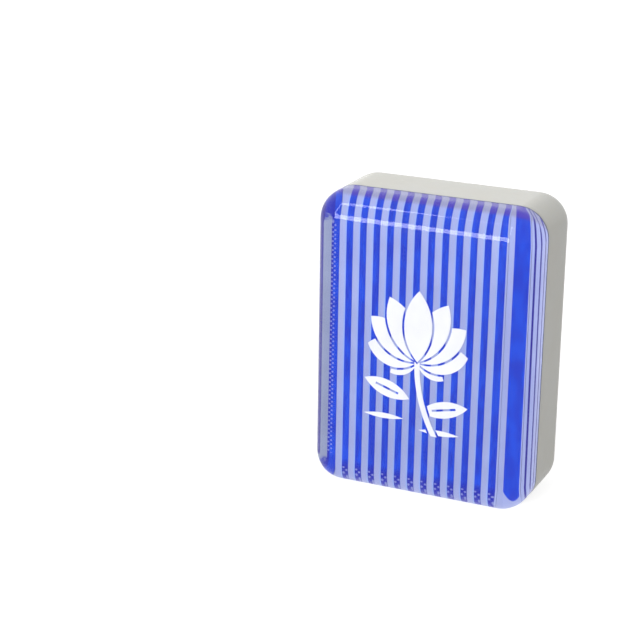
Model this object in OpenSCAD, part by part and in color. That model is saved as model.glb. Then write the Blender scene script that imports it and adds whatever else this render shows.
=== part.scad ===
// A mahjong tile, glued up from layers: an engraved white block, a printed sheet and a clear back.
// It stands on its short edge, with the engraved face towards -Y and the clear back towards +Y.
// The origin is the middle of its footprint, and all lengths are millimetres.

/* [Tile] */
// Width across the face
tile_w = 22.5; // [21:0.5:30]
// Height, as the tile stands
tile_h = 30; // [28:0.5:40]
// Thickness, from the engraved face to the clear back
tile_d = 12.5; // [10:0.5:18]
// Radius of the outer edges and corners
edge_r = 3; // [1.5:0.25:3.5]

/* [Layers] */
// Thickness of the clear back
clear_t = 3.9; // [3.6:0.1:5]
// Thickness of the adhesive between the print and the clear back
clear_bond_t = 0.06; // [0.04:0.01:0.3]
// Thickness of the printed sheet
sheet_t = 0.2; // [0.1:0.05:0.5]
// Thickness of the adhesive between the sheet and the white block
seam_bond_t = 0.1; // [0.05:0.01:0.3]
// Thickness of one printed coat of ink
ink_t = 0.03; // [0.02:0.01:0.06]

/* [Stripes] */
// Distance from one blue stripe to the next
stripe_pitch = 1.41; // [1:0.005:3]
// Width of a blue stripe
stripe_w = 0.67; // [0.3:0.01:0.9]
// How far the stripes lie off the middle, towards +X
stripe_shift = 0.42; // [-0.7:0.01:0.7]
// Width of the last stripe on the +X side, where the print ends
narrow_stripe_w = 0.42; // [0.2:0.01:0.6]
// Width of the last stripe on the -X side
wide_stripe_w = 0.97; // [0.7:0.01:1.5]
// Distance between the last stripe on the -X side and its neighbour
wide_stripe_gap = 0.32; // [0.2:0.01:0.7]

/* [White lotus] */
// Height of the whole motif
lotus_h = 14.6; // [10:0.1:16]
// Length of the middle petal
petal_l = 7.2; // [5:0.1:8]
// Width of a petal
petal_w = 2.9; // [1.5:0.1:3.5]
// Clear line between two overlapping petals
petal_gap = 0.22; // [0.1:0.02:0.4]
// Width of the stem and the ripples
stem_w = 0.55; // [0.3:0.05:1]
// Length of a leaf on the water
pad_l = 5; // [3:0.1:5.5]
// Width of a leaf on the water
pad_w = 1.7; // [1:0.1:2.5]
// Length of a ripple on the water
ripple_l = 4.2; // [2:0.1:5]
// How far the motif lies off the middle, towards +X
lotus_x = 0.8; // [-2:0.1:2]
// How far the motif lies below the tile's mid height
lotus_drop = 1.5; // [0:0.1:3]

/* [Engraving] */
// Depth of every engraved groove
groove_depth = 0.45; // [0.3:0.05:0.8]
// Thickness of the enamel at the bottom of a groove
enamel_t = 0.28; // [0.1:0.02:0.3]
// Least distance from the engraving to the round edges
face_margin = 0.05; // [0:0.05:1]
// Least distance between two grooves
groove_gap = 0.25; // [0.15:0.05:0.5]

/* [Ring] */
// Width of the black ring's groove
ring_w = 0.9; // [0.5:0.05:1.3]
// Distance from the ring to the lower round edge
ring_foot = 0.5; // [0:0.1:2]
// Height kept free above the ring for the red blossoms
band_room = 7.1; // [6:0.1:10]

/* [Red blossoms] */
// Distance between two blossoms
blossom_gap = 0.35; // [0.2:0.05:1]
// Distance between two petals, and between the petals and the dot in their middle
blossom_petal_gap = 0.18; // [0.12:0.02:0.3]
// Distance from the upper round edge to the middle blossom's centre
band_drop = 2.8; // [2:0.1:4]
// How much lower the outer blossoms lie than the middle one
band_sag = 1; // [0:0.1:2]

/* [Bamboo] */
// Width of a stalk
stalk_w = 0.8; // [0.5:0.05:1.1]
// Gap between two joints of a stalk
stalk_gap = 0.24; // [0.15:0.02:0.5]
// Length of the middle leaf of a fan
leaf_l = 3.1; // [2:0.1:4]
// Width of a bamboo leaf
leaf_w = 0.84; // [0.5:0.02:1.1]
// Distance from a fan's centre to the roots of its leaves
leaf_root = 0.5; // [0.3:0.05:0.8]
// How much less a pair of small leaves outside the ring reaches than its corner has room for
sprig_margin = 0.9; // [0.8:0.1:1.5]
// Distance from a pair's centre to the roots of its small leaves
sprig_root = 0.3; // [0.3:0.05:0.6]
// Width of a small leaf outside the ring
sprig_w = 0.66; // [0.4:0.02:0.8]
// Width of a black stroke on the bank
bank_w = 0.72; // [0.4:0.02:0.9]

/* [Hidden] */
$fn = 64;
long_arc_fn = 360;
overrun = tile_d / 10;
blossom_count = 5;
petal_count = 5;

// Planes across the tile, from the face at -Y to the back at +Y
face_y = -tile_d / 2;
back_y = tile_d / 2;
print_y = back_y - clear_t - clear_bond_t;
stripes_y = print_y - ink_t;
sheet_y = stripes_y - ink_t;
seam_y = sheet_y - sheet_t - seam_bond_t;

// The flat part of the face, inside the round edges
flat_w = tile_w - 2 * edge_r - 2 * face_margin;
flat_h = tile_h - 2 * edge_r - 2 * face_margin;

// The ring is as large as the flat leaves room for under the blossoms
ring_r = min(flat_w, flat_h - ring_foot - band_room) / 2;
ring_z = edge_r + face_margin + ring_foot + ring_r;
field_r = ring_r - ring_w - groove_gap;
ring_gap_angles = [38, 218];
ring_gap_deg = 15;

// The blossoms fill the flat from side to side, and their round petals stand in a circle
blossom_d = (flat_w - (blossom_count - 1) * blossom_gap) / blossom_count;
blossom_pitch = blossom_d + blossom_gap;
blossom_z = tile_h - edge_r - band_drop;
petal_half_turn = 180 / petal_count;
blossom_petal_d = (blossom_d * sin(petal_half_turn) - blossom_petal_gap) / (1 + sin(petal_half_turn));
blossom_dot_d = blossom_d - 2 * blossom_petal_d - 2 * blossom_petal_gap;

// Two stalks: both ends, as shares of the field's radius, and how many joints each has
stalk_shares = [[[-0.44, -0.76], [-0.16, 0.95]], [[0.26, -0.80], [0.46, 0.66]]];
stalk_joints = [6, 5];

// Leaf fans: the place and the length as shares of the field's radius and of the longest leaf
fan_shares = [
    [-0.28, 0.60, 0.92], [-0.08, 0.66, 1], [-0.38, 0.16, 0.96], [-0.18, 0.17, 0.94], [-0.48, -0.36, 0.88],
    [0.50, 0.44, 0.76], [0.44, 0.02, 1], [0.40, -0.44, 0.84], [-0.26, -0.38, 0.96],
];
fan_angles = [192, -10, 194, -16, 186, 24, -4, 2, -22];
fan_counts = [3, 3, 3, 3, 2, 2, 3, 2, 3];
fan_spread = 36;
fan_taper_share = 0.12;

// The bank: three black strokes below the stalks, as shares of the field's radius and of the longest one,
// which reaches across the field
bank_shares = [[0, -0.90, 1], [-0.60, -0.68, 0.42], [0.58, -0.72, 0.42]];
bank_angles = [0, -42, 36];
bank_l = 2 * field_r * cos(asin(bank_shares[0].y));

// Small leaves in the two corners above the ring, in pairs
sprig_reach = ring_r / sin(45) - ring_r - sprig_margin;
sprig_x = flat_w / 2 - sprig_w;
sprig_z = ring_z + ring_r - sprig_reach;
sprig_angles = [100, 150];

// The lotus: each pair of petals leans out further and is a little shorter
lean_angles = [0, 26, 51, 77];
lean_length_shares = [1, 0.96, 0.88, 0.74];
sepal_angle = 118;
sepal_length_share = 0.44;
sepal_width_share = 0.5;
stem_bend_share = 2;
pad_shares = [[-0.20, -0.30], [0.21, -0.21]];
pad_angles = [78, -72];
ripple_shares = [[-0.17, -0.47], [0.23, -0.41]];

// A leaf shape between two equal arcs, from the origin along +Y
module lens(length, width) {
    arc_r = (length * length / 4 + width * width / 4) / width;
    translate([0, length / 2])
        intersection() {
            translate([arc_r - width / 2, 0]) circle(arc_r, $fn = long_arc_fn);
            translate([width / 2 - arc_r, 0]) circle(arc_r, $fn = long_arc_fn);
        }
}

// A straight stroke of the cutter, from the origin along +Y, with round ends
module stroke(length, width) {
    translate([-width / 2, width / 2]) square([width, length - width]);
    for (y = [width / 2, length - width / 2]) translate([0, y]) circle(width / 2);
}

// The tile's outline as it stands, with its foot on the X axis
module outline() {
    for (side = [-1, 1])
        for (z = [edge_r, tile_h - edge_r])
            translate([side * (tile_w / 2 - edge_r), z]) circle(edge_r);
    translate([-tile_w / 2, edge_r]) square([tile_w, tile_h - 2 * edge_r]);
    translate([edge_r - tile_w / 2, 0]) square([tile_w - 2 * edge_r, tile_h]);
}

// A drawing in X and Z, given its thickness from the plane y towards -Y
module plate(y, thickness) {
    translate([0, y, 0]) rotate([90, 0, 0]) linear_extrude(thickness) children();
}

// Half the section across a round edge: a bar of the given thickness with one round corner
module edge_section(thickness) {
    square([edge_r, thickness - edge_r]);
    translate([0, thickness - edge_r])
        intersection() {
            circle(edge_r);
            square(edge_r);
        }
}

// A slab on the plane z = 0 whose upper edges and upright corners are round
module pillow(thickness) {
    core_w = tile_w - 2 * edge_r;
    core_h = tile_h - 2 * edge_r;
    translate([-core_w / 2, edge_r, 0]) cube([core_w, core_h, thickness]);
    for (turn = [0, 180])
        translate([0, tile_h / 2, 0])
            rotate([0, 0, turn])
                translate([0, -tile_h / 2, 0]) {
                    translate([core_w / 2, edge_r + core_h, 0])
                        rotate([90, 0, 0]) linear_extrude(core_h) edge_section(thickness);
                    translate([core_w / 2, edge_r + core_h, 0])
                        rotate([90, 0, 90]) translate([0, 0, -core_w]) linear_extrude(core_w)
                            edge_section(thickness);
                    translate([core_w / 2, edge_r + core_h, 0])
                        rotate_extrude(angle = 90) edge_section(thickness);
                    translate([core_w / 2, edge_r, 0])
                        rotate([0, 0, -90]) rotate_extrude(angle = 90) edge_section(thickness);
                }
}

// The ring, interrupted where the cutter lifts
module ring_drawing() {
    translate([0, ring_z]) {
        difference() {
            circle(ring_r);
            circle(ring_r - ring_w);
            for (a = ring_gap_angles)
                rotate([0, 0, a])
                    polygon([
                        [0, 0],
                        [2 * ring_r, -2 * ring_r * tan(ring_gap_deg / 2)],
                        [2 * ring_r, 2 * ring_r * tan(ring_gap_deg / 2)],
                    ]);
        }
        for (a = ring_gap_angles, side = [-1, 1])
            rotate([0, 0, a + side * ring_gap_deg / 2]) translate([ring_r - ring_w / 2, 0]) circle(ring_w / 2);
    }
}

// One stalk from joint to joint, widened on every side by grow
module stalk(ends, joints, grow) {
    start = ends[0] * field_r;
    run = (ends[1] - ends[0]) * field_r;
    length = norm(run);
    joint_l = (length - (joints - 1) * stalk_gap) / joints;
    translate(start)
        rotate([0, 0, atan2(run.y, run.x) - 90])
            if (grow > 0)
                translate([-stalk_w / 2 - grow, -grow]) square([stalk_w + 2 * grow, length + 2 * grow]);
            else
                for (i = [0 : joints - 1])
                    translate([0, i * (joint_l + stalk_gap)]) stroke(joint_l, stalk_w);
}

module stalk_drawing(grow = 0) {
    translate([0, ring_z])
        for (i = [0 : len(stalk_shares) - 1]) stalk(stalk_shares[i], stalk_joints[i], grow);
}

module bank_drawing(grow = 0) {
    translate([0, ring_z])
        for (i = [0 : len(bank_shares) - 1]) {
            length = bank_l * bank_shares[i][2] + 2 * grow;
            translate([bank_shares[i].x, bank_shares[i].y] * field_r)
                rotate([0, 0, bank_angles[i] + 90])
                    translate([0, -length / 2]) lens(length, bank_w + 2 * grow);
        }
}

// Leaves that spread from one point, the outer ones a little shorter
module leaf_fan(angle, count, length) {
    for (k = [0 : count - 1]) {
        step = k - (count - 1) / 2;
        rotate([0, 0, angle - 90 + step * fan_spread])
            translate([0, leaf_root]) lens(length * (1 - abs(step) * fan_taper_share), leaf_w);
    }
}

// All the fans, kept clear of the stalks, the bank and the ring
module leaf_drawing() {
    difference() {
        intersection() {
            translate([0, ring_z]) circle(field_r);
            translate([0, ring_z])
                for (i = [0 : len(fan_shares) - 1])
                    translate([fan_shares[i].x, fan_shares[i].y] * field_r)
                        leaf_fan(fan_angles[i], fan_counts[i], leaf_l * fan_shares[i].z);
        }
        stalk_drawing(groove_gap);
        bank_drawing(groove_gap);
    }
}

module sprig_drawing() {
    for (side = [-1, 1])
        translate([side * sprig_x, sprig_z])
            for (a = sprig_angles)
                rotate([0, 0, side * (a - 90)])
                    translate([0, sprig_root]) lens(sprig_reach - sprig_root, sprig_w);
}

module blossom_drawing(i) {
    step = i - (blossom_count - 1) / 2;
    sag = band_sag * pow(2 * step / (blossom_count - 1), 2);
    translate([step * blossom_pitch, blossom_z - sag]) {
        circle(blossom_dot_d / 2);
        for (k = [0 : petal_count - 1])
            rotate([0, 0, k * 360 / petal_count])
                translate([0, (blossom_d - blossom_petal_d) / 2]) circle(blossom_petal_d / 2);
    }
}

// Drawings on the face become grooves, and the enamel fills their lower part
module groove() {
    plate(face_y + groove_depth, groove_depth + overrun) children();
}

module fill() {
    plate(face_y + groove_depth, enamel_t) children();
}

// Even stripes between the round edges, with one narrow and one wide stripe outside them
module stripe_drawing() {
    count = ceil((tile_w - 2 * edge_r) / stripe_pitch);
    first_x = stripe_shift - (count - 1) / 2 * stripe_pitch - stripe_w / 2;
    intersection() {
        outline();
        union() {
            for (i = [0 : count - 1]) translate([first_x + i * stripe_pitch, 0]) square([stripe_w, tile_h]);
            translate([first_x + count * stripe_pitch, 0]) square([narrow_stripe_w, tile_h]);
            translate([first_x - wide_stripe_gap - wide_stripe_w, 0]) square([wide_stripe_w, tile_h]);
        }
    }
}

// One petal of the pair i, leaning out to one side and widened all round by grow
module petal(i, side, grow) {
    rotate([0, 0, side * lean_angles[i]])
        translate([0, -grow]) lens(petal_l * lean_length_shares[i] + 2 * grow, petal_w + 2 * grow);
}

// What shows of a petal behind the ones that lean out less
module petal_behind(i, side) {
    difference() {
        petal(i, side, 0);
        petal(i - 1, side, petal_gap);
        if (i > 1) petal(i - 2, side, petal_gap);
    }
}

module sepal(side) {
    difference() {
        rotate([0, 0, side * sepal_angle]) lens(petal_l * sepal_length_share, petal_w * sepal_width_share);
        petal(len(lean_angles) - 1, side, petal_gap);
        petal(0, side, petal_gap);
    }
}

// A bent bar under the origin, widened on both sides by grow
module bent_bar(length, grow) {
    bend_r = length * stem_bend_share;
    translate([-bend_r, 0])
        difference() {
            circle(bend_r + stem_w / 2 + grow, $fn = long_arc_fn);
            circle(bend_r - stem_w / 2 - grow, $fn = long_arc_fn);
        }
}

// The stem, from below the middle petal to the motif's foot
module stem(length) {
    difference() {
        intersection() {
            bent_bar(length, 0);
            translate([-length / 2, -length]) square([length, length]);
        }
        petal(0, 1, petal_gap);
    }
}

// A leaf on the water, with a clear line for its rib and clear of the stem
module pad(i, length) {
    difference() {
        translate(pad_shares[i] * lotus_h) rotate([0, 0, pad_angles[i]])
            translate([0, -pad_l / 2]) lens(pad_l, pad_w);
        translate(pad_shares[i] * lotus_h) rotate([0, 0, pad_angles[i]])
            translate([-petal_gap / 2, -pad_l / 4]) square([petal_gap, pad_l / 2]);
        translate([0, lotus_h / 2 - petal_l]) bent_bar(length, petal_gap);
    }
}

module ripple(share, length) {
    difference() {
        translate(share * lotus_h) rotate([0, 0, 90]) translate([0, -ripple_l / 2]) lens(ripple_l, stem_w);
        translate([0, lotus_h / 2 - petal_l]) bent_bar(length, petal_gap);
    }
}

module lotus_drawing() {
    stem_l = lotus_h - petal_l;
    translate([lotus_x, tile_h / 2 - lotus_drop]) {
        translate([0, lotus_h / 2 - petal_l]) {
            petal(0, 1, 0);
            for (i = [1 : len(lean_angles) - 1], side = [-1, 1]) petal_behind(i, side);
            for (side = [-1, 1]) sepal(side);
            stem(stem_l);
        }
        for (i = [0 : len(pad_shares) - 1]) pad(i, stem_l);
        for (share = ripple_shares) ripple(share, stem_l);
    }
}

module face_block() {
    color("#F1F0EA")
        difference() {
            translate([0, seam_y, 0]) rotate([90, 0, 0]) pillow(seam_y - face_y);
            groove() ring_drawing();
            groove() bank_drawing();
            groove() stalk_drawing();
            groove() leaf_drawing();
            groove() sprig_drawing();
            for (i = [0 : blossom_count - 1]) groove() blossom_drawing(i);
        }
}

module seam_bond() {
    color("#E4E2D8") plate(seam_y + seam_bond_t, seam_bond_t) outline();
}

module ground_sheet() {
    color("#A7B2E2") plate(sheet_y, sheet_t) outline();
}

module blue_stripes() {
    color("#2B48D2") plate(stripes_y, ink_t) stripe_drawing();
}

module white_lotus() {
    color("#FCFCFD") plate(print_y, ink_t) lotus_drawing();
}

// The film lies on the two printed coats
module clear_bond() {
    color("#DDE6F5", 0.4) plate(back_y - clear_t, clear_bond_t) outline();
}

module clear_back() {
    color("#DDE6F5", 0.4)
        translate([0, back_y - clear_t, 0]) mirror([0, 1, 0]) rotate([90, 0, 0]) pillow(clear_t);
}

module ring_enamel() {
    color("#141919") fill() ring_drawing();
}

module bank_enamel() {
    color("#141919") fill() bank_drawing();
}

module stalk_enamel() {
    color("#1E4F22") fill() stalk_drawing();
}

module leaf_enamel() {
    color("#2B6A2B") fill() leaf_drawing();
}

module sprig_enamel() {
    color("#2B6A2B") fill() sprig_drawing();
}

module red_blossom(i) {
    color("#B0101A") fill() blossom_drawing(i);
}

face_block();
seam_bond();
ground_sheet();
blue_stripes();
white_lotus();
clear_bond();
clear_back();
ring_enamel();
bank_enamel();
stalk_enamel();
leaf_enamel();
sprig_enamel();
red_blossom(0);  // red_blossom_1
red_blossom(1);  // red_blossom_2
red_blossom(2);  // red_blossom_3
red_blossom(3);  // red_blossom_4
red_blossom(4);  // red_blossom_5
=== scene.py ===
"""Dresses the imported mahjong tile: an engraved block, its enamels, a print and a clear back."""

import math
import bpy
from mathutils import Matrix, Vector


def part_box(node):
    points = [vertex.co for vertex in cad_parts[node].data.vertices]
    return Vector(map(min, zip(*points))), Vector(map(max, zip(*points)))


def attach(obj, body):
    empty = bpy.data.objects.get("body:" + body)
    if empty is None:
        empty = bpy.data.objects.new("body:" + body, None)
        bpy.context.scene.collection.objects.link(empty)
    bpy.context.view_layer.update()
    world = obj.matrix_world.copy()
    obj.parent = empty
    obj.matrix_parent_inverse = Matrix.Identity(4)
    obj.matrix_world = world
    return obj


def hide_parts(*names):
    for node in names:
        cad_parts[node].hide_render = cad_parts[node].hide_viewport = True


bl_info = {
    "name": "Mahjong Tile",
    "version": (1, 0, 0),
    "blender": (4, 5, 0),
    "location": "3D View > Sidebar > Tile",
    "description": "Builds a mahjong tile: engraved enamel, and stripes under clear acrylic",
    "category": "Add Mesh",
}

import bmesh
import bpy
import numpy as np
from bpy.props import FloatProperty, FloatVectorProperty, IntProperty, PointerProperty
from mathutils import Matrix, Vector

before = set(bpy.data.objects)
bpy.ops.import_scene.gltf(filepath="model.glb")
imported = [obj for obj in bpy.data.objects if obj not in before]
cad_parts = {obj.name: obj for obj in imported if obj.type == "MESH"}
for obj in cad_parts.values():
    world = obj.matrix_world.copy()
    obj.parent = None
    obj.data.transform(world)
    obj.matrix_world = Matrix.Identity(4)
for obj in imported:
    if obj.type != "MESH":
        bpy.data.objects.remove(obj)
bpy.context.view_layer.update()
MM = 0.001
BODY = "root"

FACE_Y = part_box("face_block")[0].y
ENAMEL_MIDDLE_Y = (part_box("ring_enamel")[0].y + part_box("ring_enamel")[1].y) / 2
SHEET_TOP_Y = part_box("ground_sheet")[1].y
ENAMEL_SLOTS = {
    "ring_enamel": "black_enamel",
    "bank_enamel": "black_enamel",
    "stalk_enamel": "dark_green_enamel",
    "leaf_enamel": "green_enamel",
    "sprig_enamel": "green_enamel",
    "red_blossom_1": "red_enamel",
    "red_blossom_2": "red_enamel",
    "red_blossom_3": "red_enamel",
    "red_blossom_4": "red_enamel",
    "red_blossom_5": "red_enamel",
}

# Points closer than the first are merged, and points closer than the second count as level
MERGED_WITHIN = 0.0005 * MM
LEVEL_WITHIN = 0.01 * MM
# How far the groove's tool stands out of the face
CUT_OVERRUN = 1 * MM
# Gaps too small to see: the clear back's rim over the sheet, and the film's foot over the motif
RIM_GAP = 0.002 * MM
FILM_GAP = 0.005 * MM
# A face looks forward, or lies in the flat face, where its normal's share along -Y is above these
LOOKS_FORWARD = 0.9
LIES_FLAT = 0.99

# Places in the print, in millimetres across (X) or upward (Z): the start and the end of a change
# The head's band lies in the round top edge. Its duller, more violet colour is painted shade: the
# dim reflection that edge shows
PRINT_HEAD = (27.9, 28.15)
# The violet lines' middles and widths, and how far they lean per length upward. The three on -X are
# print; the last, on +X, is painted shade along the silhouette's edge
VIOLET_LINES = ((-9.26, 0.14), (-9.69, 0.13), (-10.48, 0.3), (10.065, 0.33))
VIOLET_LEAN = -0.0022
# The middle of the widest stripe, and how fast its round end rises with the square of the distance
WIDEST_MIDDLE = -8.475
WIDEST_BOW = 1.6
# The screen's dots: a cell's width and height, and its shift and a dot's radius as shares of it
FOOT_DOTS = (0.705, 0.2, 0.154, 0.32)
SIDE_DOTS = (0.2186, 0.455, 0, 0.34)
# A unit square's diagonal: a square grid turned by an eighth is a staggered one
DIAGONAL = 1.4142


def linear(hex_colour):
    """An sRGB hex value as linear red, green and blue."""
    values = [int(hex_colour[i : i + 2], 16) / 255 for i in (0, 2, 4)]
    return [v / 12.92 if v <= 0.04045 else ((v + 0.055) / 1.055) ** 2.4 for v in values]


def length_prop(name, description, mm):
    """A length that a user may change, given in millimetres."""
    return FloatProperty(
        name=name, description=description, default=mm * MM, unit="LENGTH", precision=6
    )


def count_prop(name, description, count):
    """A whole number that a user may change."""
    return IntProperty(name=name, description=description, default=count)


def colour_prop(name, description, hex_colour):
    """A colour that a user may change, given as an sRGB hex value."""
    return FloatVectorProperty(
        name=name,
        description=description,
        default=linear(hex_colour),
        subtype="COLOR",
        min=0,
        max=1,
    )


def light_prop(name, description, strength):
    """A strength of light that a user may change."""
    return FloatProperty(name=name, description=description, default=strength)


class TileSizes(bpy.types.PropertyGroup):
    """The shape's lengths and counts"""

    edge_radius: length_prop("Edge radius", "Radius of the outer edges and corners", 3)
    edge_steps: count_prop("Edge steps", "Segments across one round edge", 24)
    rim_depth: length_prop("Rim depth", "Depth at which the enamel meets the groove's wall", 0.03)
    trough_depth: length_prop("Trough depth", "How far the enamel sags below its rim", 0.3)
    trough_reach: length_prop("Trough reach", "Distance from the rim to the deepest enamel", 0.36)
    trough_cuts: count_prop("Trough cuts", "Cuts that give the enamel its hollow surface", 5)
    wetted_inset: length_prop("Wetted inset", "Distance of the wetted print from the sides", 0.02)
    wetted_depth: length_prop("Wetted depth", "How far the clear back reaches into the sheet", 0.1)


class TileColours(bpy.types.PropertyGroup):
    """The colours of plastic, print, enamel and paper"""

    white: colour_prop("White plastic", "Moulded white block", "E8E8E1")
    white_warm: colour_prop("White plastic, warm", "Warmer clouds in the white block", "E5E3D8")
    seam: colour_prop("Seam adhesive", "Thin cured line round the tile", "CFCDC4")
    sheet: colour_prop("Printed sheet", "Pale lilac ground between the stripes", "9FA9D8")
    sheet_cool: colour_prop("Printed sheet, cool", "Light blue side of each gap", "91AEE8")
    # Painted shade: the round top edge's dim reflection, painted on the ground at the head
    sheet_head_shade: colour_prop("Printed sheet, head", "Duller ground at the upper end", "9194B8")
    margin: colour_prop("Sheet margin", "Greyish ground outside the last stripe", "8C96B4")
    blue: colour_prop("Blue ink", "Screen-printed stripe", "0546D5")
    blue_deep: colour_prop("Blue ink, deep", "Thicker places in the blue ink", "0332C0")
    # Painted shade: the same dim reflection, painted on the ink at the head
    blue_head_shade: colour_prop("Blue ink, head", "Duller, more violet ink at the upper end", "3C29AF")
    # Painted shade where the round edges let less light reach the print: at the foot, along the +X
    # edge and in the corners
    blue_shade: colour_prop("Blue ink, foot", "Blue ink at the print's margin", "0E1CA8")
    # Print on -X; on +X the same colour is painted shade along the silhouette
    violet: colour_prop("Violet edge", "Fine lines where the print ends", "1C1190")
    lotus: colour_prop("White ink", "Opaque white motif", "FBFCFF")
    black: colour_prop("Black enamel", "Thick black enamel", "0C0F10")
    black_thin: colour_prop("Black enamel, thin", "Black enamel along a rim", "1E2324")
    dark_green: colour_prop("Dark green enamel", "Thick enamel in the stalks", "0E4216")
    dark_green_thin: colour_prop("Dark green enamel, thin", "Enamel along a stalk's rim", "4C8A38")
    green: colour_prop("Green enamel", "Thick enamel in the leaves", "185A1C")
    green_thin: colour_prop("Green enamel, thin", "Enamel along a leaf's rim", "6FA84E")
    red: colour_prop("Red enamel", "Thick enamel in the blossoms", "BA0410")
    red_thin: colour_prop("Red enamel, thin", "Enamel along a blossom's rim", "DC4A40")
    dry: colour_prop("Dry specks", "Dust in the enamel", "B3B5B3")
    clear: colour_prop("Clear acrylic", "Tint of the clear back", "FBFCFF")
    clear_lit: colour_prop("Clear acrylic, lit", "Lamp light that the back lets through", "FCFCFD")
    film: colour_prop("Clear adhesive", "Tint of the adhesive where it is thin", "FDFDFE")
    film_thick: colour_prop("Clear adhesive, thick", "Tint where it is thick", "FAFAFC")
    paper: colour_prop("Paper", "Background paper, as it is seen", "AAAAAA")
    paper_dim: colour_prop("Paper, dim", "Background paper, as it lights the tile", "A0A0A0")


class TileLight(bpy.types.PropertyGroup):
    """The stage's light"""

    sky: light_prop("Sky", "Strength of the even light from all round", 0.45)
    back_lamp: light_prop("Back lamp", "Watts of the soft lamp on the clear back", 3.1)
    face_lamp: light_prop("Face lamp", "Watts of the soft lamp on the engraved face", 2.5)
    strip: light_prop("Strips", "Brightness of the strips that gloss mirrors", 7)
    floor_lift: light_prop("Floor lift", "Light that whitens the floor in view", 0.82)


def only(piece):
    """Leaves one object selected and active."""
    bpy.ops.object.select_all(action="DESELECT")
    piece.select_set(True)
    bpy.context.view_layer.objects.active = piece


def pick(kind, test):
    """In edit mode, leaves selected the vertices, edges or faces that pass the test."""
    bpy.ops.mesh.select_mode(type={"verts": "VERT", "edges": "EDGE", "faces": "FACE"}[kind])
    bpy.ops.mesh.select_all(action="DESELECT")
    shape = bmesh.from_edit_mesh(bpy.context.edit_object.data)
    for part in getattr(shape, kind):
        if test(part):
            part.select_set(True)
    bmesh.update_edit_mesh(bpy.context.edit_object.data)


def looks_forward(face):
    """Whether a face looks towards the engraved side."""
    return face.normal.y < -LOOKS_FORWARD


def apply(piece, kind, **settings):
    """Adds one modifier with its settings and applies it."""
    only(piece)
    modifier = piece.modifiers.new(kind.lower(), kind)
    for key, value in settings.items():
        setattr(modifier, key, value)
    bpy.ops.object.modifier_apply(modifier=modifier.name)


def outward(piece):
    """Merges a closed shell's doubles and points its faces outwards."""
    only(piece)
    bpy.ops.object.mode_set(mode="EDIT")
    bpy.ops.mesh.select_all(action="SELECT")
    bpy.ops.mesh.remove_doubles(threshold=MERGED_WITHIN)
    bpy.ops.mesh.normals_make_consistent(inside=False)
    bpy.ops.object.mode_set(mode="OBJECT")


def smooth(piece, degrees):
    """Shades round stretches smooth and keeps flats flat."""
    only(piece)
    bpy.ops.object.shade_smooth_by_angle(angle=math.radians(degrees))
    apply(piece, "WEIGHTED_NORMAL", keep_sharp=True, weight=100)


def slab(name, low, high):
    """A block between two corners, with its place in its mesh."""
    bpy.ops.mesh.primitive_cube_add(size=1, location=(low + high) / 2)
    piece = bpy.context.object
    piece.name = name
    piece.scale = high - low
    bpy.ops.object.transform_apply(location=True, rotation=True, scale=True)
    return piece


def merged_copy(node, name):
    """A CAD node's shape as a new piece, with its doubles merged."""
    piece = bpy.data.objects.new(name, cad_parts[node].data.copy())
    bpy.context.scene.collection.objects.link(piece)
    piece.data.materials.clear()
    only(piece)
    bpy.ops.mesh.customdata_custom_splitnormals_clear()
    outward(piece)
    return piece


def finish_piece(piece, material):
    """Gives a piece its material and its body."""
    piece.data.materials.clear()
    piece.data.materials.append(material)
    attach(piece, BODY)


def add_node(tree, kind, values=None, stops=(), **settings):
    """Adds a node with its settings and a ramp's two stops, and sets its inputs or links them.

    An input is linked to a socket, or to the first output in use of a node.
    """
    node = tree.nodes.new(kind)
    for key, value in settings.items():
        setattr(node, key, value)
    for index, (place, colour) in enumerate(stops):
        node.color_ramp.elements[index].position = place
        node.color_ramp.elements[index].color = colour
    for key, value in (values or {}).items():
        if isinstance(value, bpy.types.Node):
            value = next(output for output in value.outputs if output.enabled)
        if isinstance(value, bpy.types.NodeSocket):
            tree.links.new(value, node.inputs[key])
        else:
            node.inputs[key].default_value = value
    return node


def rgba(colour):
    """A colour property as four numbers."""
    return (*colour, 1)


def new_material(name):
    """An empty node material and its tree."""
    made = bpy.data.materials.new(name)
    made.use_nodes = True
    made.node_tree.nodes.clear()
    return made, made.node_tree


def show_wetted(tree, colour):
    """Shows a matt coat in full contact with clear acrylic: with no air there, nothing mirrors."""
    coat = {"Base Color": colour, "Roughness": 0.5, "Specular IOR Level": 0.0}
    shader = add_node(tree, "ShaderNodeBsdfPrincipled", coat)
    add_node(tree, "ShaderNodeOutputMaterial", {"Surface": shader})


def masks(tree, places):
    """Named masks over a length: nought at one place in millimetres and one at another, clamped."""
    made = {}
    for name, (length, start, end) in places.items():
        reach = {"Value": length, "From Min": start * MM, "From Max": end * MM}
        made[name] = add_node(tree, "ShaderNodeMapRange", reach)
    return made


def combined(tree, operation, *parts):
    """One mask made of several, taken in turn."""
    whole = parts[0]
    for part in parts[1:]:
        whole = add_node(tree, "ShaderNodeMath", {0: whole, 1: part}, operation=operation)
    return whole


def layered(tree, colour, *layers):
    """A colour with others laid over it in turn, each where its mask is one."""
    for mask, over in layers:
        coats = {"Factor": mask, "A": colour, "B": over}
        colour = add_node(tree, "ShaderNodeMix", coats, data_type="RGBA")
    return colour


def mesh_dots(tree, place, cell_x, cell_z, shift, radius):
    """Ones in the staggered dots that a screen's mesh leaves, with cells given in millimetres."""
    cells = {0: place, 1: (1 / (cell_x * MM), 0, 1 / (cell_z * MM)), 2: (shift, 0, 0)}
    grid = add_node(tree, "ShaderNodeVectorMath", cells, operation="MULTIPLY_ADD")
    eighth = {"Rotation": (0, math.pi / 4, 0), "Scale": (DIAGONAL, 0, DIAGONAL)}
    turned = add_node(tree, "ShaderNodeMapping", {"Vector": grid, **eighth})
    dots = add_node(
        tree, "ShaderNodeTexVoronoi", {"Vector": turned, "Scale": 1.0, "Randomness": 0.12}
    )
    soft = {"Value": dots, "From Min": radius, "From Max": 0.65 * radius}
    return add_node(tree, "ShaderNodeMapRange", soft)


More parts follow.
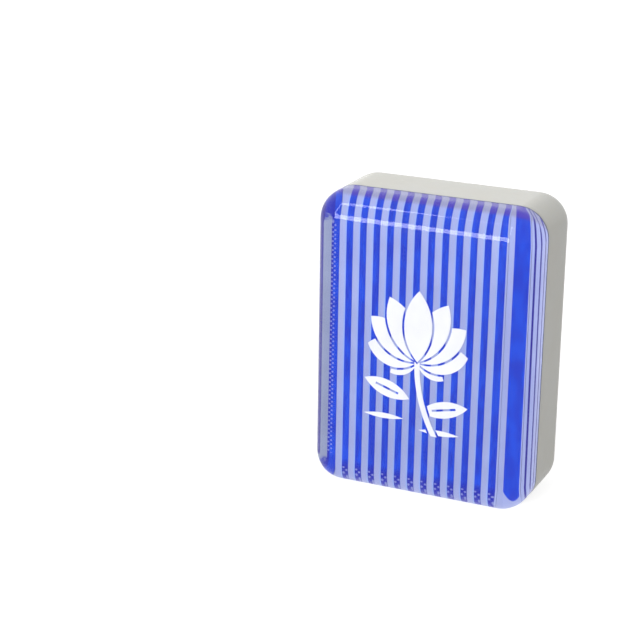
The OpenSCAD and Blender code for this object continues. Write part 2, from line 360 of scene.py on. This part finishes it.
def moulded_white_plastic(colours):
    """Compression-moulded white plastic, tumble-polished: dense, slightly waxy, with soft gloss."""
    made, tree = new_material("moulded_white_plastic")
    place = add_node(tree, "ShaderNodeTexCoord").outputs["Object"]
    # The plastic's clouds are nine millimetres wide
    clouds = add_node(
        tree, "ShaderNodeTexNoise", {"Vector": place, "Scale": 1 / (9 * MM), "Detail": 3}
    )
    tints = [(0.35, rgba(colours.white_warm)), (0.65, rgba(colours.white))]
    colour = add_node(tree, "ShaderNodeValToRGB", {"Fac": clouds}, stops=tints)
    # The tumbling drum leaves a faint waviness, about two millimetres from crest to crest
    waves = add_node(
        tree, "ShaderNodeTexNoise", {"Vector": place, "Scale": 1 / (2 * MM), "Detail": 1}
    )
    bump = add_node(
        tree, "ShaderNodeBump", {"Height": waves, "Strength": 0.25, "Distance": 0.012 * MM}
    )
    # It polishes unevenly, in patches of 0.7 mm
    haze = add_node(
        tree, "ShaderNodeTexNoise", {"Vector": place, "Scale": 1 / (0.7 * MM), "Detail": 4}
    )
    gloss = add_node(tree, "ShaderNodeMapRange", {"Value": haze, "To Min": 0.2, "To Max": 0.3})
    plastic = {
        "Base Color": colour,
        "Roughness": gloss,
        "Normal": bump,
        "IOR": 1.5,
        "Subsurface Weight": 0.2,
        "Subsurface Radius": (1, 0.9, 0.75),
        "Subsurface Scale": 1.2 * MM,
    }
    shader = add_node(tree, "ShaderNodeBsdfPrincipled", plastic)
    add_node(tree, "ShaderNodeOutputMaterial", {"Surface": shader})
    return made


def gloss_enamel(name, thick, thin, dry, dryness):
    """Hand-wiped gloss enamel: deep where it pools, paler along the rim, with a few dry specks."""
    made, tree = new_material(name)
    place = add_node(tree, "ShaderNodeTexCoord").outputs["Object"]
    film = add_node(tree, "ShaderNodeAttribute", attribute_name="film").outputs["Fac"]
    # The brush leaves streaks about a quarter of a millimetre apart in the film
    streaks = add_node(
        tree, "ShaderNodeTexNoise", {"Vector": place, "Scale": 1 / (0.25 * MM), "Detail": 3}
    )
    worn = add_node(tree, "ShaderNodeMath", {0: streaks, 1: 0.5, 2: film}, operation="MULTIPLY_ADD")
    depths = [(0.4, rgba(thin)), (0.95, rgba(thick))]
    colour = add_node(tree, "ShaderNodeValToRGB", {"Fac": worn}, stops=depths)
    # Dry specks are about 0.1 mm across, where dust was wiped out of the wet film
    dust = add_node(
        tree, "ShaderNodeTexNoise", {"Vector": place, "Scale": 1 / (0.16 * MM), "Detail": 2}
    )
    specks = add_node(
        tree,
        "ShaderNodeMapRange",
        {"Value": dust, "From Min": 0.7, "From Max": 0.76, "To Max": dryness},
    )
    gloss = add_node(tree, "ShaderNodeMapRange", {"Value": streaks, "To Min": 0.1, "To Max": 0.3})
    bump = add_node(
        tree, "ShaderNodeBump", {"Height": streaks, "Strength": 0.4, "Distance": 0.02 * MM}
    )
    enamel = {
        "Base Color": layered(tree, colour, (specks, rgba(dry))),
        "Roughness": gloss,
        "Normal": bump,
        "IOR": 1.52,
        "Specular IOR Level": 0.1,
    }
    shader = add_node(tree, "ShaderNodeBsdfPrincipled", enamel)
    add_node(tree, "ShaderNodeOutputMaterial", {"Surface": shader})
    return made


def cured_adhesive(colours):
    """Cured seam adhesive, sanded flush: a dull, slightly darker line round the tile."""
    made, tree = new_material("cured_seam_adhesive")
    place = add_node(tree, "ShaderNodeTexCoord").outputs["Object"]
    # The sanding's grit leaves scratches 0.3 mm apart
    grit = add_node(
        tree, "ShaderNodeTexNoise", {"Vector": place, "Scale": 1 / (0.3 * MM), "Detail": 3}
    )
    dull = add_node(tree, "ShaderNodeMapRange", {"Value": grit, "To Min": 0.4, "To Max": 0.6})
    tints = [(0.3, rgba(colours.seam)), (0.7, rgba(colours.white_warm))]
    colour = add_node(tree, "ShaderNodeValToRGB", {"Fac": grit}, stops=tints)
    cured = {"Base Color": colour, "Roughness": dull}
    shader = add_node(tree, "ShaderNodeBsdfPrincipled", cured)
    add_node(tree, "ShaderNodeOutputMaterial", {"Surface": shader})
    return made


def pale_printed_sheet(colours, pitch, blue_place):
    """Pale printed acrylic sheet: a satin ground, tinted light blue to lilac across each gap."""
    made, tree = new_material("pale_printed_sheet")
    place = add_node(tree, "ShaderNodeTexCoord").outputs["Object"]
    parts = add_node(tree, "ShaderNodeSeparateXYZ", {"Vector": place}).outputs
    across, upward = parts["X"], parts["Z"]
    gaps = {0: across, 1: 1 / pitch, 2: -blue_place / pitch}
    count = add_node(tree, "ShaderNodeMath", gaps, operation="MULTIPLY_ADD")
    step = add_node(tree, "ShaderNodeMath", {0: count}, operation="FRACT")
    tints = [(0.24, rgba(colours.sheet_cool)), (0.4, rgba(colours.sheet))]
    ground = add_node(tree, "ShaderNodeValToRGB", {"Fac": step}, stops=tints)
    aside = add_node(tree, "ShaderNodeMath", {0: across}, operation="ABSOLUTE")
    # At the print's corners, painted shade lays a deep blue over a ragged half millimetre
    ragged = add_node(
        tree, "ShaderNodeTexNoise", {"Vector": place, "Scale": 1 / (0.15 * MM), "Detail": 2}
    )
    uneven = {0: ragged, 1: 0.9 * MM, 2: upward}
    height = add_node(tree, "ShaderNodeMath", uneven, operation="MULTIPLY_ADD")
    top = SHEET_TOP_Y / MM
    mask = masks(
        tree,
        {
            "past_gaps": (aside, 9, 9.05),
            "margin": (across, 9.6, 9.7),
            "head": (upward, *PRINT_HEAD),
            "shaded_corner_top": (height, 26.9, 27.2),
            "shaded_corner_foot": (height, 2.5, 2.2),
            "shaded_corner_side": (across, 9.2, 9.3),
            "printed_face": (parts["Y"], top - 0.02, top - 0.01),
            "raised": (upward, 3, 27),
        },
    )
    shaded_corners = combined(tree, "MAXIMUM", mask["shaded_corner_top"], mask["shaded_corner_foot"])
    # Fine violet lines, 0.1 to 0.3 mm wide, run along both sides of the print, a little out of
    # square. Those on -X are print, and the one on +X is painted shade that darkens the silhouette.
    # All lie on the print's face only, so the sheet's cut sides don't show them
    lean = {0: upward, 1: VIOLET_LEAN, 2: across}
    leaning = add_node(tree, "ShaderNodeMath", lean, operation="MULTIPLY_ADD")
    lines = []
    for middle, width in VIOLET_LINES:
        stretch = {0: leaning, 1: middle * MM, 2: width / 2 * MM}
        lines.append(add_node(tree, "ShaderNodeMath", stretch, operation="COMPARE"))
    all_lines = combined(tree, "ADD", *lines)
    tint = layered(
        tree,
        ground,
        (mask["past_gaps"], rgba(colours.sheet)),
        (mask["margin"], rgba(colours.margin)),
        # Painted shade at the head
        (mask["head"], rgba(colours.sheet_head_shade)),
        # Painted shade in the corners
        (combined(tree, "MULTIPLY", shaded_corners, mask["shaded_corner_side"]), rgba(colours.blue_shade)),
        # Violet print, and painted shade in the +X line
        (combined(tree, "MULTIPLY", all_lines, mask["printed_face"]), rgba(colours.violet)),
    )
    # The ground was laid unevenly, over 1.4 mm. It is also made a little paler towards the head
    clouds = add_node(
        tree, "ShaderNodeTexNoise", {"Vector": place, "Scale": 1 / (1.4 * MM), "Detail": 3}
    )
    drift = add_node(tree, "ShaderNodeMapRange", {"Value": clouds, "To Min": 0.93, "To Max": 1.05})
    paler = add_node(
        tree, "ShaderNodeMapRange", {"Value": mask["raised"], "To Min": 0.97, "To Max": 1.07}
    )
    level = combined(tree, "MULTIPLY", drift, paler)
    colour = add_node(tree, "ShaderNodeVectorMath", {0: tint, "Scale": level}, operation="SCALE")
    show_wetted(tree, colour)
    return made


def screen_print_blue(colours):
    """Screen-printed blue ink: a dense, mottled coat that breaks into dots at its margin, with
    painted shade at its foot, its +X edge and its head.
    """
    made, tree = new_material("screen_print_blue")
    place = add_node(tree, "ShaderNodeTexCoord").outputs["Object"]
    parts = add_node(tree, "ShaderNodeSeparateXYZ", {"Vector": place}).outputs
    across, upward = parts["X"], parts["Z"]
    # Mottles follow the squeegee's stroke and are about half a millimetre wide
    stroke = add_node(tree, "ShaderNodeMapping", {"Vector": place, "Scale": (1, 1, 0.25)})
    mottles = add_node(
        tree, "ShaderNodeTexNoise", {"Vector": stroke, "Scale": 1 / (0.5 * MM), "Detail": 3}
    )
    coats = [(0.38, rgba(colours.blue_deep)), (0.62, rgba(colours.blue))]
    ink = add_node(tree, "ShaderNodeValToRGB", {"Fac": mottles}, stops=coats)
    # The widest stripe has a round end: a parabola over the distance from its middle
    off = combined(tree, "ADD", across, -WIDEST_MIDDLE * MM)
    bow = {0: combined(tree, "MULTIPLY", off, off), 1: -WIDEST_BOW / MM, 2: upward}
    above_bow = add_node(tree, "ShaderNodeMath", bow, operation="MULTIPLY_ADD")
    mask = masks(
        tree,
        {
            "head": (upward, *PRINT_HEAD),
            "past_widest": (across, -7.8, -7.7),
            "before_last": (across, 9.1, 9),
            "foot": (upward, 2.1, 1.6),
            "side": (across, 9.56, 9.6),
            "foot_dots": (upward, 1.68, 1.64),
            "side_dots": (across, 9.445, 9.465),
            "side_dots_top": (upward, 26.7, 26.4),
            "side_dots_foot": (upward, 2.4, 2.7),
            "widest": (across, -7.9, -8),
            "round_end": (above_bow, 1.46, 1.41),
            "thin_edge": (across, -7.57, -7.59),
            "thin_edge_stop": (across, -7.82, -7.77),
            "outer_thin_edge": (across, -8.88, -8.9),
            "outer_thin_edge_stop": (across, -9.13, -9.08),
        },
    )

    def all_of(*names):
        return combined(tree, "MULTIPLY", *(mask[name] for name in names))

    # The ink is darker above the foot and at its +X edge: painted shade, where the round edges let
    # less lamp light reach the print. There the mesh shows as pale dots
    regular = all_of("past_widest", "before_last")
    shaded_edges = combined(
        tree, "MAXIMUM", combined(tree, "MULTIPLY", mask["foot"], regular), mask["side"]
    )
    foot_mesh = mesh_dots(tree, place, *FOOT_DOTS)
    side_mesh = mesh_dots(tree, place, *SIDE_DOTS)
    dots = combined(
        tree,
        "MAXIMUM",
        combined(tree, "MULTIPLY", mask["foot_dots"], regular, foot_mesh),
        combined(
            tree, "MULTIPLY", all_of("side_dots_top", "side_dots_foot", "side_dots"), side_mesh
        ),
    )
    # The two outermost stripes on the -X side lack a tenth of a millimetre at their outer edges
    holes = combined(
        tree,
        "MAXIMUM",
        combined(tree, "MULTIPLY", dots, 0.6),
        all_of("round_end", "widest"),
        all_of("thin_edge", "thin_edge_stop"),
        all_of("outer_thin_edge", "outer_thin_edge_stop"),
    )
    colour = layered(
        tree,
        ink,
        # Painted shade at the head
        (mask["head"], rgba(colours.blue_head_shade)),
        # Painted shade at the foot and along the +X edge
        (shaded_edges, rgba(colours.blue_shade)),
        (holes, rgba(colours.sheet)),
    )
    show_wetted(tree, colour)
    return made


def screen_print_white(colours):
    """Opaque white screen ink over the stripes, with a barely uneven coat."""
    made, tree = new_material("screen_print_white")
    place = add_node(tree, "ShaderNodeTexCoord").outputs["Object"]
    # The coat's thickness changes over 0.6 mm
    coat = add_node(
        tree, "ShaderNodeTexNoise", {"Vector": place, "Scale": 1 / (0.6 * MM), "Detail": 2}
    )
    drift = add_node(tree, "ShaderNodeMapRange", {"Value": coat, "To Min": 0.94, "To Max": 1.0})
    shade = {0: tuple(colours.lotus), "Scale": drift}
    show_wetted(tree, add_node(tree, "ShaderNodeVectorMath", shade, operation="SCALE"))
    return made


def polished_clear_acrylic(colours):
    """Cast acrylic, flame-polished: clear to the eye, with sharp reflections and faint ripples."""
    made, tree = new_material("polished_clear_acrylic")
    place = add_node(tree, "ShaderNodeTexCoord").outputs["Object"]
    # The flame leaves ripples three millimetres apart
    ripples = add_node(
        tree, "ShaderNodeTexNoise", {"Vector": place, "Scale": 1 / (3 * MM), "Detail": 1}
    )
    bump = add_node(
        tree, "ShaderNodeBump", {"Height": ripples, "Strength": 0.05, "Distance": 0.01 * MM}
    )
    acrylic = {
        "Base Color": rgba(colours.clear),
        "Roughness": 0.0,
        "IOR": 1.49,
        "Transmission Weight": 1.0,
        "Normal": bump,
    }
    shader = add_node(tree, "ShaderNodeBsdfPrincipled", acrylic)
    # The lamps' light goes straight through it
    lamp_ray = add_node(tree, "ShaderNodeLightPath").outputs["Is Shadow Ray"]
    open_way = add_node(tree, "ShaderNodeBsdfTransparent", {"Color": rgba(colours.clear_lit)})
    mixed = add_node(tree, "ShaderNodeMixShader", {"Fac": lamp_ray, 1: shader, 2: open_way})
    add_node(tree, "ShaderNodeOutputMaterial", {"Surface": mixed})
    return made


def clear_adhesive_film(colours):
    """Optically clear adhesive: it only takes a little light, unevenly."""
    made, tree = new_material("clear_adhesive_film")
    place = add_node(tree, "ShaderNodeTexCoord").outputs["Object"]
    # It flowed out in patches four millimetres wide
    flow = add_node(
        tree, "ShaderNodeTexNoise", {"Vector": place, "Scale": 1 / (4 * MM), "Detail": 2}
    )
    tints = [(0.3, rgba(colours.film_thick)), (0.7, rgba(colours.film))]
    colour = add_node(tree, "ShaderNodeValToRGB", {"Fac": flow}, stops=tints)
    film = add_node(tree, "ShaderNodeBsdfTransparent", {"Color": colour})
    add_node(tree, "ShaderNodeOutputMaterial", {"Surface": film})
    return made


def in_view(tree):
    """One for rays that show the backdrop, directly or in gloss or glass, nought for its light."""
    rays = add_node(tree, "ShaderNodeLightPath").outputs
    kinds = ("Is Camera Ray", "Is Glossy Ray", "Is Transmission Ray")
    seen = combined(tree, "MAXIMUM", *(rays[kind] for kind in kinds))
    before = {0: rays["Diffuse Depth"], 1: 0.5}
    first = add_node(tree, "ShaderNodeMath", before, operation="LESS_THAN")
    return combined(tree, "MULTIPLY", seen, first)


def studio_paper(colours, lift):
    """Matt white paper: whitened where it is seen, and still darkened by the tile's shadow."""
    made, tree = new_material("studio_paper")
    # Gloss shows it less lifted, as paper that lies close round the tile is dimmer
    rays = add_node(tree, "ShaderNodeLightPath").outputs
    mirrored = combined(tree, "SUBTRACT", rays["Is Glossy Ray"], rays["Is Transmission Ray"])
    level = add_node(
        tree, "ShaderNodeMapRange", {"Value": mirrored, "To Min": lift, "To Max": 0.7 * lift}
    )
    # It lights the tile a little less than it shows in view
    seen = in_view(tree)
    grey = layered(tree, rgba(colours.paper_dim), (seen, rgba(colours.paper)))
    paper = add_node(tree, "ShaderNodeBsdfDiffuse", {"Color": grey})
    strength = combined(tree, "MULTIPLY", seen, level)
    light = add_node(tree, "ShaderNodeEmission", {"Strength": strength})
    both = add_node(tree, "ShaderNodeAddShader", {0: paper, 1: light})
    add_node(tree, "ShaderNodeOutputMaterial", {"Surface": both})
    return made


def outer(vertex):
    """Whether a vertex of an enamel fill is on its outer side."""
    return vertex.co.y < ENAMEL_MIDDLE_Y


def dished(piece, sizes):
    """Hollows an enamel fill: level with the groove's rim at its outline, and sagging inwards."""

    def at_rim(edge):
        walled = not all(looks_forward(face) for face in edge.link_faces)
        return walled and all(outer(v) for v in edge.verts)

    only(piece)
    bpy.ops.object.mode_set(mode="EDIT")
    pick("faces", looks_forward)
    bpy.ops.mesh.subdivide(number_cuts=sizes.trough_cuts, quadcorner="INNERVERT")
    shape = bmesh.from_edit_mesh(piece.data)
    film = shape.verts.layers.float.new("film")
    rims = [edge for edge in shape.edges if at_rim(edge)]
    start = np.array([edge.verts[0].co.xz for edge in rims])
    run = np.array([edge.verts[1].co.xz for edge in rims]) - start
    for v in [v for v in shape.verts if outer(v)]:
        ahead = np.array(v.co.xz) - start
        share = np.clip((ahead * run).sum(1) / (run * run).sum(1), 0, 1)
        reach = np.hypot(*(ahead - run * share[:, None]).T).min() / sizes.trough_reach
        sag = math.sqrt(1 - (1 - min(reach, 1)) ** 2)
        v.co.y = FACE_Y + sizes.rim_depth + sag * sizes.trough_depth
        v[film] = sag
    bmesh.update_edit_mesh(piece.data)
    bpy.ops.mesh.select_all(action="SELECT")
    bpy.ops.mesh.quads_convert_to_tris()
    bpy.ops.mesh.normals_make_consistent(inside=False)
    bpy.ops.object.mode_set(mode="OBJECT")


def groove_cutters():
    """All the fills as one tool that reaches out through the face."""
    tools = [merged_copy(node, "cutter_" + node) for node in ENAMEL_SLOTS]
    for tool in tools:
        for v in tool.data.vertices:
            if outer(v):
                v.co.y = FACE_Y - CUT_OVERRUN
    bpy.ops.object.select_all(action="DESELECT")
    for tool in tools:
        tool.select_set(True)
    bpy.context.view_layer.objects.active = tools[0]
    bpy.ops.object.join()
    return tools[0]


def round_edges(piece, end_y, sizes):
    """Rounds the four edges along Y and the four round the end at end_y."""

    def at_end(vertex):
        return abs(vertex.co.y - end_y) < LEVEL_WITHIN

    def touches_end(edge):
        return any(at_end(v) for v in edge.verts)

    only(piece)
    bpy.ops.object.mode_set(mode="EDIT")
    pick("edges", touches_end)
    bpy.ops.mesh.bevel(
        offset=sizes.edge_radius,
        segments=sizes.edge_steps,
        profile=0.5,
        affect="EDGES",
        clamp_overlap=False,
    )
    bpy.ops.object.mode_set(mode="OBJECT")
    outward(piece)


class TILE_OT_white_block(bpy.types.Operator):
    """Builds the white block, with its round edges and engraved grooves"""

    bl_idname = "tile.white_block"
    bl_label = "White Block"

    def execute(self, context):
        sizes, colours = context.scene.tile_sizes, context.scene.tile_colours
        piece = slab("white_block", *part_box("face_block"))
        round_edges(piece, FACE_Y, sizes)
        cutters = groove_cutters()
        apply(piece, "BOOLEAN", operation="DIFFERENCE", solver="EXACT", object=cutters)
        bpy.data.objects.remove(cutters)
        outward(piece)
        # The flat face, with the grooves in it, is one many-sided face until it is split
        bpy.ops.object.mode_set(mode="EDIT")
        pick("faces", lambda face: face.normal.y < -LIES_FLAT)
        bpy.ops.mesh.quads_convert_to_tris()
        bpy.ops.object.mode_set(mode="OBJECT")
        smooth(piece, degrees=50)
        finish_piece(piece, moulded_white_plastic(colours))
        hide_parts("face_block")
        return {"FINISHED"}


class TILE_OT_enamel(bpy.types.Operator):
    """Builds the enamel in every groove, hollow as it dries"""

    bl_idname = "tile.enamel"
    bl_label = "Enamel"

    def execute(self, context):
        sizes, colours = context.scene.tile_sizes, context.scene.tile_colours
        paints = {}
        for slot, thick, thin, dryness in (
            ("black_enamel", colours.black, colours.black_thin, 0.6),
            ("dark_green_enamel", colours.dark_green, colours.dark_green_thin, 0.3),
            ("green_enamel", colours.green, colours.green_thin, 0.3),
            ("red_enamel", colours.red, colours.red_thin, 0.2),
        ):
            name = slot.replace("_enamel", "_gloss_enamel")
            paints[slot] = gloss_enamel(name, thick, thin, colours.dry, dryness)
        for node, slot in ENAMEL_SLOTS.items():
            piece = merged_copy(node, node + "_dried")
            dished(piece, sizes)
            only(piece)
            bpy.ops.object.shade_smooth_by_angle(angle=math.radians(60))
            finish_piece(piece, paints[slot])
            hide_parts(node)
        return {"FINISHED"}


def stripe_middles():
    """The middle of every blue stripe across the tile, in order, from the CAD."""
    piece = merged_copy("blue_stripes", "stripes_read")
    shape = bmesh.new()
    shape.from_mesh(piece.data)
    bpy.data.objects.remove(piece)
    middles, left = [], set(shape.verts)
    while left:
        stripe, reached = set(), [next(iter(left))]
        while reached:
            v = reached.pop()
            if v not in stripe:
                stripe.add(v)
                reached += [edge.other_vert(v) for edge in v.link_edges]
        left -= stripe
        places = [v.co.x for v in stripe]
        middles.append((min(places) + max(places)) / 2)
    shape.free()
    return sorted(middles)


class TILE_OT_print(bpy.types.Operator):
    """Dresses the printed sheet, its stripes and the white motif"""

    bl_idname = "tile.print"
    bl_label = "Print"

    def execute(self, context):
        colours = context.scene.tile_colours
        # The outermost stripes differ, so the pitch is that of the others
        middles = stripe_middles()[1:-1]
        pitch = (middles[-1] - middles[0]) / (len(middles) - 1)
        dress = {
            "seam_bond": (cured_adhesive(colours), "seam_adhesive"),
            "ground_sheet": (pale_printed_sheet(colours, pitch, middles[0]), "pale_sheet"),
            "blue_stripes": (screen_print_blue(colours), "blue_ink"),
            "white_lotus": (screen_print_white(colours), "white_ink"),
        }
        for node, (material, slot) in dress.items():
            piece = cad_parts[node]
            piece.data.materials.clear()
            piece.data.materials.append(material)
        return {"FINISHED"}


class TILE_OT_clear_back(bpy.types.Operator):
    """Builds the clear acrylic back, which wets the print, and the adhesive film in it"""

    bl_idname = "tile.clear_back"
    bl_label = "Clear Back"

    def execute(self, context):
        sizes, colours = context.scene.tile_sizes, context.scene.tile_colours
        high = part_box("clear_back")[1]
        low = Vector((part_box("clear_back")[0].x, SHEET_TOP_Y + RIM_GAP, 0))
        piece = slab("clear_back_polished", low, high)
        round_edges(piece, high.y, sizes)
        # Down in the sheet there is no air between the acrylic and the ink, as in the real joint
        bpy.ops.object.mode_set(mode="EDIT")
        pick("faces", looks_forward)
        bpy.ops.mesh.inset(thickness=sizes.wetted_inset)
        down = {"value": (0, -sizes.wetted_depth, 0)}
        bpy.ops.mesh.extrude_region_move(TRANSFORM_OT_translate=down)
        bpy.ops.object.mode_set(mode="OBJECT")
        outward(piece)
        smooth(piece, degrees=35)
        finish_piece(piece, polished_clear_acrylic(colours))
        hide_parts("clear_back")

        film = merged_copy("clear_bond", "clear_bond_cured")
        bpy.ops.object.mode_set(mode="EDIT")
        bpy.ops.mesh.select_all(action="SELECT")
        share = 1 - 2 * sizes.wetted_inset / film.dimensions.x
        centre = (0, 0, film.dimensions.z / 2)
        bpy.ops.transform.resize(value=(share, 1, share), center_override=centre)
        pick("faces", looks_forward)
        bpy.ops.transform.translate(value=(0, FILM_GAP, 0))
        bpy.ops.object.mode_set(mode="OBJECT")
        finish_piece(film, clear_adhesive_film(colours))
        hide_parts("clear_bond")
        return {"FINISHED"}


def lamp(name, place, target, width, height, watts):
    """A rectangular lamp that faces a target, with its width kept level."""
    data = bpy.data.lights.new(name, "AREA")
    data.shape, data.size, data.size_y, data.energy = "RECTANGLE", width, height, watts
    made = bpy.data.objects.new(name, data)
    bpy.context.scene.collection.objects.link(made)
    made.location = place
    made.rotation_euler = (Vector(target) - Vector(place)).to_track_quat("-Z", "Y").to_euler()
    return made


def soft_lamps(light, middle):
    """A wide soft lamp on each face, which gloss and glass don't show."""
    for name, deep, watts in (
        ("back_lamp", 0.66, light.back_lamp),
        ("face_lamp", -0.66, light.face_lamp),
    ):
        soft = lamp(name, Vector((0.21, deep, 0.09)), middle, 0.5, 0.15, watts)
        soft.visible_glossy = False
        soft.visible_transmission = False


def strips(light, middle):
    """Four strips round a square, whose mirror image is the thin loop on the top edge."""
    distance, half = 0.5, math.radians(24)
    low, high, turn = math.radians(14), math.radians(62), math.atan2(0.35, 0.9)
    for name, lifted, along, width, height, share in (
        ("low_strip", low, turn, 0.42, 0.13, 1),
        ("high_strip", high, turn, 0.42, 0.04, 0.12),
        ("left_strip", (low + high) / 2, turn + half, 0.045, 0.42, 0.7),
        ("right_strip", (low + high) / 2, turn - half, 0.03, 0.42, 0.4),
    ):
        level = math.cos(lifted)
        place = Vector((math.sin(along) * level, math.cos(along) * level, math.sin(lifted)))
        watts = light.strip * share * math.pi * width * height
        strip = lamp(name, place * distance + middle, middle, width, height, watts)
        strip.visible_transmission = False


def camera():
    """The camera, at the photograph's place and angle."""
    eye = Vector((-61.69, 164.06, 75.07)) * MM
    level = Vector((0.4139, -0.9103, 0))
    pitch, roll = 0.322, 0.0149
    up = Vector((0, 0, 1))
    side = level.cross(up)
    ahead = math.cos(pitch) * level - math.sin(pitch) * up
    top = math.sin(pitch) * level + math.cos(pitch) * up
    right = math.cos(roll) * side + math.sin(roll) * top
    top = math.cos(roll) * top - math.sin(roll) * side
    data = bpy.data.cameras.new("camera")
    data.lens, data.sensor_width, data.clip_start = 105.95, 36, 0.001
    made = bpy.data.objects.new("camera", data)
    bpy.context.scene.collection.objects.link(made)
    turned = Matrix((right, top, -ahead)).transposed().to_4x4()
    made.matrix_world = Matrix.Translation(eye) @ turned
    bpy.context.scene.camera = made


def sky(strength):
    """An even sky, white where it is seen."""
    world = bpy.data.worlds.new("sky")
    bpy.context.scene.world = world
    world.use_nodes = True
    tree = world.node_tree
    tree.nodes.clear()
    level = add_node(
        tree, "ShaderNodeMapRange", {"Value": in_view(tree), "To Min": strength, "To Max": 1.0}
    )
    light = add_node(tree, "ShaderNodeBackground", {"Color": (1, 1, 1, 1), "Strength": level})
    add_node(tree, "ShaderNodeOutputWorld", {"Surface": light})


class TILE_OT_stage(bpy.types.Operator):
    """Sets the floor, the sky, the lamps and the camera"""

    bl_idname = "tile.stage"
    bl_label = "Stage"

    def execute(self, context):
        colours, light = context.scene.tile_colours, context.scene.tile_light
        context.scene.view_settings.view_transform = "Standard"
        # The floor lies a hair below the tile, so that the two never share a plane
        bpy.ops.mesh.primitive_plane_add(size=6, location=(0, 0, -0.02 * MM))
        floor = context.object
        floor.name = "floor"
        floor.data.materials.append(studio_paper(colours, light.floor_lift))
        middle = Vector((0, 0, 15 * MM))
        soft_lamps(light, middle)
        strips(light, middle)
        sky(light.sky)
        camera()
        return {"FINISHED"}


class TILE_PT_panel(bpy.types.Panel):
    """Lists the tile's operators"""

    bl_idname = "TILE_PT_panel"
    bl_label = "Mahjong Tile"
    bl_space_type = "VIEW_3D"
    bl_region_type = "UI"
    bl_category = "Tile"

    def draw(self, context):
        for made in OPERATORS:
            self.layout.operator(made.bl_idname)


OPERATORS = (
    TILE_OT_stage,
    TILE_OT_white_block,
    TILE_OT_enamel,
    TILE_OT_print,
    TILE_OT_clear_back,
)
GROUPS = {"tile_sizes": TileSizes, "tile_colours": TileColours, "tile_light": TileLight}


def register():
    """Registers the classes and gives each scene its values."""
    for made in (*GROUPS.values(), *OPERATORS, TILE_PT_panel):
        bpy.utils.register_class(made)
    for name, group in GROUPS.items():
        setattr(bpy.types.Scene, name, PointerProperty(type=group))


def unregister():
    """Takes the values and the classes away again."""
    for name in GROUPS:
        delattr(bpy.types.Scene, name)
    for made in reversed((*GROUPS.values(), *OPERATORS, TILE_PT_panel)):
        bpy.utils.unregister_class(made)


def main():
    """Builds the stage and the tile."""
    register()
    bpy.ops.tile.stage()
    bpy.ops.tile.white_block()
    bpy.ops.tile.enamel()
    bpy.ops.tile.print()
    bpy.ops.tile.clear_back()


if __name__ == "__main__":
    main()
